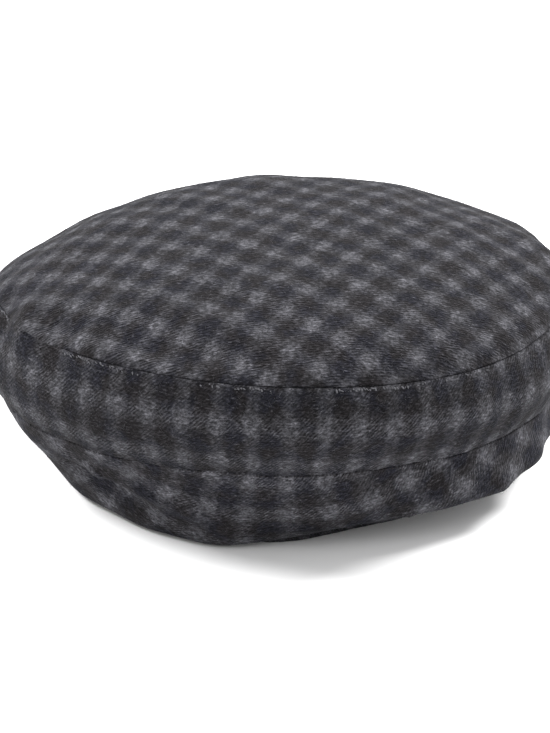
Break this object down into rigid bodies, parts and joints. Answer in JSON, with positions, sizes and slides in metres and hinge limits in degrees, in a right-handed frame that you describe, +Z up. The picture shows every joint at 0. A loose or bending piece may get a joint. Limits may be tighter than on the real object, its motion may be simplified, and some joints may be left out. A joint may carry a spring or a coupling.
{
  "type": "tam o shanter",
  "caption": "Soft round checked wool tam: a wide domed crown, an upright side band and an under panel that draws in to a slim banded head opening.",
  "frame": {"origin": "on the floor, in the middle of the hat's box seen from above", "axes": "+Z up out of the crown, the front of the hat toward -Y, +X to the right of a viewer at the front"},
  "size_m": [0.2812, 0.2732, 0.115],
  "materials": {
    "crown_wool": "brushed wool twill, grey and brown-black gingham check on the bias",
    "side_wool": "brushed wool twill, grey and brown-black gingham check along the band",
    "under_wool": "brushed wool twill, grey and brown-black gingham check along the seam",
    "band_wool": "turned wool band, dark"
  },
  "bodies": {
    "root": {"top_panel": "crown_wool", "side_band": "side_wool", "under_panel": "under_wool", "head_band": "band_wool"}
  },
  "joints": []
}
